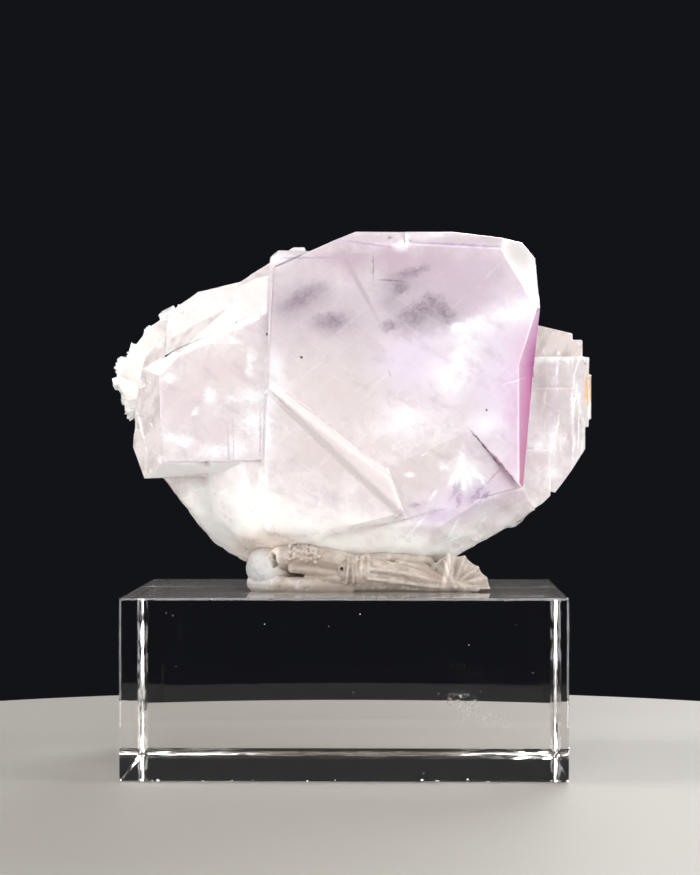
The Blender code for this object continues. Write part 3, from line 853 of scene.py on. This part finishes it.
def wandering(scale, detail, reach):
    """The place of a point, pushed about by noise, so that what is drawn there has uneven edges."""
    noise = add_node(tree, "TexNoise", inputs={
        "Vector": place, "Scale": scale, "Detail": detail, "Roughness": 0.65,
    })
    shift = add_node(
        tree,
        "VectorMath",
        {"operation": "MULTIPLY_ADD"},
        {0: noise.outputs["Color"], 1: [2 * reach] * 3, 2: [-reach] * 3},
    )
    moved = add_node(tree, "VectorMath", {"operation": "ADD"}, {0: place, 1: shift.outputs[0]}).outputs[0]
    return add_node(tree, "Mapping", inputs={"Vector": moved}).outputs[0]


runs = {
    "drifting": wandering(0.16, 4.0, 4.0), "ragged": wandering(0.7, 5.0, 1.5),
    "crisp": wandering(1.2, 3.0, 0.35),
}
wisps = add_node(tree, "TexNoise", inputs={
    "Vector": runs["drifting"], "Scale": 0.3, "Detail": 7.0, "Roughness": 0.68,
})
fibres = add_node(tree, "TexNoise", inputs={
    "Vector": runs["ragged"], "Scale": 1.2, "Detail": 4.0, "Roughness": 0.65,
})
broken = add_node(tree, "MapRange", inputs={
    "Value": fibres.outputs["Fac"], "From Min": 0.28, "From Max": 0.62, "To Min": 0.15,
}).outputs[0]
milk = add_node(tree, "MapRange", inputs={
    "Value": wisps.outputs["Fac"], "From Min": 0.42, "From Max": 0.7,
}).outputs[0]

# Each look inside the crystals: how its edges run, whether it's broken up, its middle and half depth,
# softness, colour, clearness, roughness and strength, and then where it is
LOOKS = (
    # cream of the broken foot, and the brownish part behind the putty
    ("drifting", 0, -6, 30, 0.6, "#faf5ef", 0.06, 0.35, 0.9, [(-22, 43, 13, 8, 0), (6, 38, 26, 6, 0)]),
    ("ragged", 0, -8, 10, 0.7, "#e6d6c8", 0.1, 0.3, 0.8, [(-14.6, 39, 5, 2.8, -10)]),
    # lilac right half, warmer lower left, and the grey and rosy parts under the top edge
    ("drifting", 0, -8, 24, 0.8, "#ebe2eb", 0.24, 0.12, 0.9, [(20, 76, 18, 15, 0), (26, 64, 7, 14, 0)]),
    ("drifting", 0, -15, 8, 0.8, "#e9dfde", 0.25, 0.12, 0.8, [
        (0, 68, 11, 9, 0), (-4, 55, 10, 5, 0), (15, 51, 7, 5, 0),
    ]),
    ("drifting", 0, -15, 10, 0.8, "#e3d8de", 0.3, 0.12, 0.9, [(-9, 82, 8, 9, 0), (1, 80, 7, 7, 0)]),
    ("drifting", 0, -14, 10, 0.7, "#dac5d1", 0.3, 0.1, 0.9, [
        (9, 88.5, 5, 3, 0), (15.5, 88, 4.6, 3.5, 0), (1, 89, 5.6, 2.6, 0),
    ]),
    ("drifting", 0, -14, 10, 0.8, "#e1d1dd", 0.3, 0.1, 0.95, [(21, 85, 8, 6, 0)]),
    ("drifting", 0, -15, 8, 0.8, "#f0e4f2", 0.2, 0.12, 0.8, [
        (12, 71, 6, 5.5, 0), (27, 68, 4, 10, 0), (19.5, 46, 9, 4, -20),
    ]),
    ("ragged", 0, -14, 6, 0.8, "#f0e2e3", 0.25, 0.12, 0.8, [
        (-28.7, 65.4, 4.2, 3.8, 0), (-21.3, 58.6, 3.1, 2.4, 0), (-22.6, 69.5, 6.3, 3.5, 0),
    ]),
    ("drifting", 0, -14, 6, 0.8, "#ebe0e3", 0.25, 0.12, 0.6, [(-24, 61, 10, 9, 0)]),
    # grey smudges of inclusions and the haze round them
    ("ragged", 0, -15, 3, 0.8, "#cfc2cb", 0.35, 0.12, 0.8, [
        (-7.3, 82, 4.5, 2.6, -25), (-2.4, 78.2, 3.5, 1.9, 0), (13.3, 79.2, 5.6, 2.8, -10),
        (9.5, 84.6, 3.5, 2.1, 0), (8.1, 82, 2.4, 2.4, 0),
    ]),
    ("crisp", 0, -15, 3, 0.8, "#d3c6cd", 0.35, 0.12, 0.7, [(2.6, 84.3, 5.4, 0.4, 62)]),
    ("ragged", 1, -15, 2, 0.95, "#8c7c90", 0.4, 0.12, 0.62, [
        (12.6, 80.2, 3.4, 1.8, -35), (16.7, 80.4, 2.8, 1.2, 53), (14.9, 82.0, 1.6, 1.2, 0),
        (-7.7, 82.5, 3.2, 1.1, -29), (-2.8, 78.4, 2.3, 1.0, 0), (9.5, 84.1, 1.1, 1.1, 0),
        (11.9, 87.1, 2.3, 0.7, -15), (7.7, 77.7, 1.4, 0.9, 0),
    ]),
    ("crisp", 1, -15, 2, 0.5, "#9c8c9a", 0.4, 0.12, 0.8, [
        (8.1, 85.5, 2.3, 0.16, 4), (4.8, 87.8, 2.2, 0.12, 90),
    ]),
    # pink that shines through the great cube's right edge
    ("drifting", 0, -12, 6, 0.9, "#e6c2dc", 0.2, 0.12, 0.75, [
        (30.2, 64, 2.4, 14.0, 4), (33.8, 66, 1.6, 17, 4),
    ]),
    # white veils: the healed fracture below the bright facet, and smaller ones
    ("ragged", 0, -15, 3, 0.95, "#fdf8fd", 0.08, 0.15, 0.62, [
        (29.5, 79.8, 5.5, 2.2, -18), (22.5, 77.0, 5.0, 1.8, -20), (20.6, 71.0, 6.5, 2.0, -67),
        (17.6, 69.0, 3.3, 2.6, 0), (10.2, 61.4, 3.8, 2.9, 0), (24.5, 60.4, 2.6, 1.8, 0),
        (-12.5, 70.1, 1.6, 3.2, 0), (-14.2, 58.5, 1.3, 6.0, 0), (-11.8, 89.4, 1.6, 1.6, 0),
        (-13.0, 66, 2.4, 1.6, 0),
    ]),
    ("ragged", 1, -15, 3, 0.95, "#ffffff", 0.0, 0.15, 0.55, [
        (30.6, 80.4, 4.0, 1.0, -18), (23.4, 78.2, 3.4, 0.8, -17), (19.4, 72.5, 3.4, 0.8, -67),
        (18.3, 67.5, 1.6, 1.2, 0),
    ]),
    ("crisp", 0, -15, 3, 0.6, "#ffffff", 0.0, 0.2, 0.95, [
        (19.6, 77.3, 1.1, 0.7, 0), (19.4, 70.7, 0.5, 0.4, 0), (9.6, 92, 1.3, 1.3, 0),
    ]),
    # violet under the cleaved corner, with the feathery sparkle over it
    ("ragged", 0, -14, 4, 0.8, "#e0d0e5", 0.3, 0.1, 0.6, [
        (22.0, 48.1, 3.2, 1.9, -30), (16.1, 44.3, 3.4, 1.0, -8),
    ]),
    ("ragged", 1, -13.5, 4, 0.6, "#b9a2c4", 0.3, 0.1, 0.8, [
        (19.2, 49, 1.9, 0.4, -66), (19.7, 47.1, 1.3, 0.35, -67), (22.9, 48.3, 1.8, 0.35, -54),
        (24.2, 47.6, 1.5, 0.3, -50), (12.2, 46.2, 1.0, 0.45, 0),
    ]),
    ("drifting", 0, -13.5, 4, 0.9, "#fbf7fb", 0.05, 0.1, 0.7, [(20.6, 52.6, 2.6, 2.4, 0)]),
    ("crisp", 1, -13.5, 4, 0.9, "#ffffff", 0.0, 0.1, 1.0, [
        (20.0, 53.0, 2.7, 0.5, -82), (20.9, 52.2, 2.5, 0.45, 72), (21.9, 52.8, 1.9, 0.45, 50),
        (22.8, 51.6, 1.6, 0.4, 30), (19.0, 51.2, 1.7, 0.45, -60), (20.6, 50.0, 1.6, 0.5, 80),
        (17, 53, 0.9, 0.5, 30), (15.3, 48.1, 0.9, 0.3, -57), (23.6, 50.8, 1.2, 0.26, 56),
        (11.2, 51.6, 0.7, 0.4, 0), (13.6, 55.2, 0.6, 0.15, -30),
    ]),
    ("crisp", 0, -12, 6, 0.6, "#ffffff", 0.0, 0.3, 0.7, [
        (11.1, 41.1, 3.7, 0.3, -49), (18.4, 41.3, 2.9, 0.3, -62), (23.5, 42.4, 2.0, 0.3, -58),
        (20.1, 40.6, 3.9, 0.2, -21),
    ]),
    # the top bevel, with its violet lower line and the chip in it, and a painted shadow line under the ridge
    ("ragged", 0, -13.5, 4, 0.8, "#e0d2d8", 0.35, 0.15, 0.8, [
        (2, 92.6, 9, 1.4, -3), (22, 92.4, 8, 1.3, -3),
    ]),
    ("crisp", 0, -14, 4, 0.6, "#b79dc6", 0.2, 0.12, 0.75, [
        (4.2, 91.9, 6.2, 0.16, 7), (19.2, 91.8, 8.5, 0.2, 3),
    ]),
    ("crisp", 1, -14, 4, 0.6, "#fffdfd", 0.0, 0.3, 0.9, [
        (9.6, 92.0, 1.3, 0.55, -20), (10.7, 93.2, 0.5, 0.6, 20),
    ]),
    ("crisp", 0, -14.5, 3, 0.6, "#b9a5c4", 0.2, 0.12, 0.6, [(-6.6, 89.5, 4.6, 0.14, 0)]),
    ("crisp", 0, -15, 3, 0.6, "#b3a3a8", 0.2, 0.3, 0.8, [
        (-8.0, 61.4, 6.4, 0.15, 43), (2.5, 51.2, 8.0, 0.15, 43),
    ]),
    # the crack, dark pink with the shadow of its step painted in, and the thin rosy lines
    ("crisp", 0, -14.5, 4, 0.5, "#a26f8d", 0.3, 0.2, 0.95, [
        (23.8, 57.0, 2.9, 0.13, 48), (26.6, 53.9, 2.3, 0.24, 48), (28.6, 51.6, 1.7, 0.15, 51),
    ]),
    ("crisp", 0, -14, 4, 0.5, "#cf9cb0", 0.2, 0.2, 0.7, [
        (31.9, 47.4, 2.4, 0.17, 64), (26.0, 51.5, 1.8, 0.14, -49),
    ]),
    ("crisp", 0, -14, 3, 0.4, "#fff0fb", 0.0, 0.2, 0.8, [(30.1, 68.1, 2.8, 0.13, -17)]),
    # the left cube: white sparkles, and fine upright lines
    ("ragged", 1, -14, 3, 0.9, "#ffffff", 0.05, 0.15, 0.85, [
        (-29.9, 57.9, 2.5, 0.5, 8), (-28.5, 57.6, 1.4, 0.9, 0), (-24.0, 65.3, 1.0, 1.6, 0),
        (-20.1, 64.9, 0.9, 0.7, 0), (-22.7, 55.7, 2.6, 0.9, 0), (-18.9, 56.5, 1.6, 1.6, 0),
        (-17.0, 64.9, 2.3, 1.3, 0), (-16.1, 60.2, 2.4, 2.2, 0), (-31.3, 68.4, 1.5, 0.6, 0),
        (-17.0, 71.2, 0.5, 1.9, 0), (-26.4, 62.7, 0.9, 0.26, -49),
    ]),
    ("crisp", 1, -14, 2, 0.8, "#cdbfcf", 0.3, 0.15, 0.7, [
        (-20.6, 56.7, 3.3, 0.13, 88), (-19.7, 57.1, 3.7, 0.1, 88), (-15.0, 58.2, 4.7, 0.13, 90),
        (-14.4, 59.8, 5.3, 0.1, -88), (-23.4, 53.9, 10.0, 0.14, 0), (-32.4, 61.8, 8.5, 0.14, 88),
    ]),
    # cream and grey in the bright slope and the shoulder, and lilac zones at the back
    ("ragged", 0, -6, 14, 0.9, "#e6e0da", 0.2, 0.2, 0.8, [
        (-29, 79, 3.4, 1.8, -40), (-19, 84.5, 6.5, 1.4, -14), (-33, 74.5, 2.2, 1.5, -40),
        (-16.5, 81, 2, 2, 0),
    ]),
    ("drifting", 0, 16, 14, 0.8, "#d9c8da", 0.3, 0.12, 0.85, [
        (14, 85, 20, 10, 0), (-4, 64, 12, 7, 0), (20, 60, 7, 9, 0), (-22, 62, 7, 8, 0), (37, 58, 4, 9, 0),
    ]),
    # the white break behind the left cube, and the right crystal with its wisps, spots and orange stain
    ("ragged", 0, 6, 9, 0.3, "#f6f3ee", 0.0, 0.4, 1.0, [(-39, 71, 6, 11, 20)]),
    ("ragged", 0, 3, 8, 0.8, "#d9cecd", 0.3, 0.15, 0.8, [
        (36.0, 76.0, 1.4, 1.4, 0), (40.2, 74.9, 1.4, 0.9, -30), (35.1, 67.1, 1.3, 4.0, 0),
        (39.6, 58.3, 0.9, 1.8, -20), (41.6, 60.5, 0.7, 2.2, 0),
    ]),
    ("ragged", 0, 3, 8, 0.8, "#ffffff", 0.05, 0.15, 0.8, [
        (37.3, 57.6, 2.0, 2.7, 0), (36.9, 52.1, 1.4, 1.4, 0), (34.6, 56.5, 1.4, 1.1, 0),
        (38.0, 72.4, 5.0, 0.6, 0),
    ]),
    ("crisp", 0, 7, 7, 0.4, "#eebd85", 0.1, 0.3, 0.95, [(43.9, 66.3, 0.95, 3.5, 0)]),
    ("crisp", 0, 2, 4, 0.5, "#c4bab6", 0.3, 0.2, 0.8, [(33.9, 52.9, 2.0, 0.12, 53)]),
    # dark specks of other minerals
    ("crisp", 0, -14, 3, 0.3, "#3c3238", 0.1, 0.3, 1.0, [
        (-13.8, 76.2, 0.2, 0.25, 0), (-7.8, 72.1, 0.26, 0.26, 0), (27.2, 45.8, 0.26, 0.22, 0),
        (28.6, 46.6, 0.2, 0.2, 0), (15.4, 40.0, 0.22, 0.22, 0), (24.6, 62.9, 0.15, 0.2, 0),
    ]),
    ("crisp", 0, -12, 4, 0.4, "#b0a8a6", 0.3, 0.3, 0.9, [
        (-19.5, 77.7, 1.2, 0.12, -71), (7.7, 69.2, 0.8, 0.1, 68),
    ]),
)
colour = add_node(tree, "Mix", {"data_type": "RGBA"}, {
    0: milk, 6: linear("#efe7e7"), 7: linear("#f9f4f3"),
}).outputs[2]
clearness = add_node(tree, "Mix", {}, {0: milk, 2: 0.24, 3: 0.1}).outputs[0]
roughness = add_node(tree, "Mix", {}, {0: milk, 2: 0.1, 3: 0.18}).outputs[0]


def lay(mask, tint, clear, rough, within=None):
    """Mixes one look over the ones so far, where its mask is and as far as a second mask or share lets it."""
    global colour, clearness, roughness
    if within is not None:
        mask = add_node(tree, "Math", {"operation": "MULTIPLY"}, {0: mask, 1: within}).outputs[0]
    colour = add_node(tree, "Mix", {"data_type": "RGBA"}, {0: mask, 6: colour, 7: linear(tint)}).outputs[2]
    clearness = add_node(tree, "Mix", {}, {0: mask, 2: clearness, 3: clear}).outputs[0]
    roughness = add_node(tree, "Mix", {}, {0: mask, 2: roughness, 3: rough}).outputs[0]


for run, split, middle, deep, soft, tint, clear, rough, strength, shapes in LOOKS:
    mask = spots(tree, runs[run], middle, deep, shapes, soft)
    if split:
        mask = add_node(tree, "Math", {"operation": "MULTIPLY"}, {0: mask, 1: broken}).outputs[0]
    lay(mask, tint, clear, rough, strength)


def streaks(lengths, turn, low, high, strength):
    """How strong streaks are at a point: noise this long each way, in mm, turned like a clock's hand."""
    along = add_node(
        tree,
        "Mapping",
        {"vector_type": "TEXTURE"},
        {"Vector": runs["crisp"], "Rotation": (0, math.radians(turn), 0), "Scale": lengths},
    ).outputs[0]
    noise = add_node(tree, "TexNoise", inputs={
        "Vector": along, "Scale": 1.0, "Detail": 5.0, "Roughness": 0.6,
    })
    found = add_node(
        tree,
        "MapRange",
        {"interpolation_type": "SMOOTHSTEP"},
        {"Value": noise.outputs["Fac"], "From Min": low, "From Max": high, "To Max": strength},
    )
    return found.outputs["Result"]


# Greyish mottling and a few white hairlines run through all crystals, and the right one has upright bands
lay(streaks((4.0, 6.0, 2.2), 35, 0.48, 0.72, 0.35), "#d3c6ce", 0.3, 0.12)
lay(streaks((16.0, 9.0, 0.6), 32, 0.58, 0.78, 0.17), "#ffffff", 0.05, 0.18)
lay(streaks((12.0, 9.0, 0.9), -40, 0.58, 0.78, 0.2), "#ffffff", 0.05, 0.18)
right_crystal = spots(tree, place, 12, 14, [(39.5, 63, 5.4, 17, 0)], 0.2)
lay(streaks((1.6, 3.0, 12.0), 0, 0.46, 0.62, 0.7), "#ebe6e0", 0.28, 0.1, right_crystal)
lay(streaks((0.9, 2.0, 7.0), 4, 0.54, 0.66, 0.9), "#ffffff", 0.0, 0.2, right_crystal)
# Facets with a painted glow, and painted shade that greys the upper part of the bright one at the right
painted_glow = add_node(tree, "Attribute", {"attribute_name": "painted_glow"}).outputs["Fac"]
lay(painted_glow, "#fbf6f3", 0.1, 0.2)
# Painted shade: the upper part of the bright facet at the right is greyer.
shade = spots(tree, runs["ragged"], -10, 8, [(30.4, 90.6, 2.4, 2.6, -30)], 0.8)
lay(shade, "#d3cecc", 0.2, 0.15, 0.6)
# The rim's facet deepens from lilac in front to magenta at its outer edge
_, outward, height = add_node(tree, "SeparateXYZ", inputs={0: runs["crisp"]}).outputs
outward = add_node(tree, "MapRange", inputs={
    "Value": outward, "From Min": -14.6, "From Max": -9.6,
}).outputs[0]
rim_colours = add_node(tree, "ValToRGB", inputs={"Fac": outward}).outputs[0]
stops = rim_colours.node.color_ramp.elements
stops[0].color = linear("#e3c0da")
stops[1].color = linear("#a04486")
middle_stop = stops.new(0.5)
middle_stop.color = linear("#d693c3")
rosy = add_node(tree, "Attribute", {"attribute_name": "rosy"}).outputs["Fac"]
colour = add_node(tree, "Mix", {"data_type": "RGBA"}, {0: rosy, 6: colour, 7: rim_colours}).outputs[2]
warmer = add_node(tree, "MapRange", inputs={
    "Value": height, "From Min": 78.0, "From Max": 50.0, "To Max": 0.7,
}).outputs[0]
lay(rosy, "#c0778f", 0.2, 0.12, warmer)
# Clear parts, with folds and veils in them
glassy = add_node(tree, "Attribute", {"attribute_name": "glassy"}).outputs["Fac"]
lay(glassy, "#f0e8e4", 0.24, 0.1, 0.9)
lay(streaks((1.6, 3.0, 4.0), 25, 0.42, 0.7, 0.7), "#d8cdc9", 0.36, 0.08, glassy)
lay(streaks((1.0, 3.0, 3.0), -20, 0.6, 0.7, 0.8), "#ffffff", 0.05, 0.2, glassy)
# The ridge across the great cube's face is frosted all over
ridge = spots(tree, runs["crisp"], -15.5, 2.5, [(-0.8, 56.0, 13.6, 1.9, 43), (6.0, 49.4, 5.0, 2.4, 45)], 0.2)
lay(ridge, "#e3dad9", 0.1, 0.5)
tree.links.new(colour, shader.inputs["Base Color"])
tree.links.new(clearness, shader.inputs["Transmission Weight"])
tree.links.new(roughness, shader.inputs["Roughness"])

# Fine relief: growth steps on the faces, and grain on the ridge
steps = add_node(tree, "TexVoronoi", {"distance": "CHEBYCHEV"}, {
    "Vector": place, "Scale": 0.32, "Randomness": 0.85,
})
fine = add_node(tree, "TexNoise", inputs={"Vector": place, "Scale": 4.0, "Detail": 3.0})
sandy = add_node(tree, "Math", {"operation": "MULTIPLY"}, {0: fine.outputs["Fac"], 1: ridge})
heights = add_node(tree, "Math", {"operation": "MULTIPLY_ADD"}, {
    0: steps.outputs["Color"], 1: 0.12, 2: sandy.outputs[0],
})
bump = add_node(tree, "Bump", inputs={"Height": heights.outputs[0], "Distance": 0.00008, "Strength": 0.7})
tree.links.new(bump.outputs[0], shader.inputs["Normal"])
shader.inputs["IOR"].default_value = 1.434
shader.inputs["Subsurface Weight"].default_value = 1.0
shader.inputs["Subsurface Radius"].default_value = (1.0, 0.9, 0.96)
shader.inputs["Subsurface Scale"].default_value = 0.001
tint = add_node(tree, "VolumeAbsorption", inputs={"Color": linear("#eee4ee"), "Density": 8.0})
tree.links.new(tint.outputs[0], tree.nodes["Material Output"].inputs["Volume"])
crystals.data.materials.clear()
crystals.data.materials.append(fluorite)
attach(crystals, "root")
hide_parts("fluorite_cluster")


# The camera looks at the show face from half a metre away, level, a little below the cluster's middle.
# It stands slightly to the right of the block's middle and is turned a little to the left.

camera = bpy.data.objects.new("camera", bpy.data.cameras.new("camera"))
bpy.context.scene.collection.objects.link(camera)
bpy.context.scene.camera = camera
camera.location = (0.0105, -0.50175, 0.0581)
camera.rotation_euler = (math.radians(90), 0, math.radians(1.15))
camera.data.sensor_width = 36
camera.data.lens = 114.7


# The table top stands in for a shelf: a round board, painted pale grey and matt, with a rounded rim.
# The block stands loose on it. It is scenery only, and no part of the object.

bpy.ops.object.select_all(action="DESELECT")
bpy.ops.mesh.primitive_cylinder_add(vertices=160, radius=0.14, depth=0.01, location=(0, 0, -0.00515))
table_top = bpy.context.object
table_top.name = "table_top"
settle(table_top)
rim = table_top.modifiers.new("rim", "BEVEL")
rim.width = 0.002
rim.segments = 4
finish_modifiers(table_top)
pale, tree, shader, place = new_finish("pale_table")
shader.inputs["Base Color"].default_value = linear("#a4a099")
shader.inputs["Roughness"].default_value = 0.6
table_top.data.materials.clear()
table_top.data.materials.append(pale)

# Soft light from the upper left, the front, low at both sides, the right and behind
for name, place, size, power in (
    ("key_light", (-0.38, -0.04, 0.40), 0.26, 1.9),
    ("front_light", (0.0, -0.56, 0.44), 0.36, 2.6),
    ("low_left_light", (-0.42, -0.40, 0.03), 0.3, 1.65),
    ("low_right_light", (0.44, -0.40, 0.03), 0.3, 1.8),
    ("right_light", (0.44, -0.10, 0.26), 0.25, 1.45),
    ("back_light", (0.16, 0.42, 0.30), 0.25, 1.6),
):
    lamp = bpy.data.lights.new(name, "AREA")
    lamp.size = size
    lamp.energy = power
    holder = bpy.data.objects.new(name, lamp)
    bpy.context.scene.collection.objects.link(holder)
    holder.location = place
    holder.rotation_euler = (Vector((0, 0, 0.06)) - Vector(place)).to_track_quat("-Z", "Y").to_euler()

surroundings = bpy.data.worlds.new("surroundings")
bpy.context.scene.world = surroundings
surroundings.use_nodes = True
surroundings.node_tree.nodes["Background"].inputs["Color"].default_value = linear("#131418")
surroundings.node_tree.nodes["Background"].inputs["Strength"].default_value = 1.0
bpy.context.scene.view_settings.view_transform = "Standard"
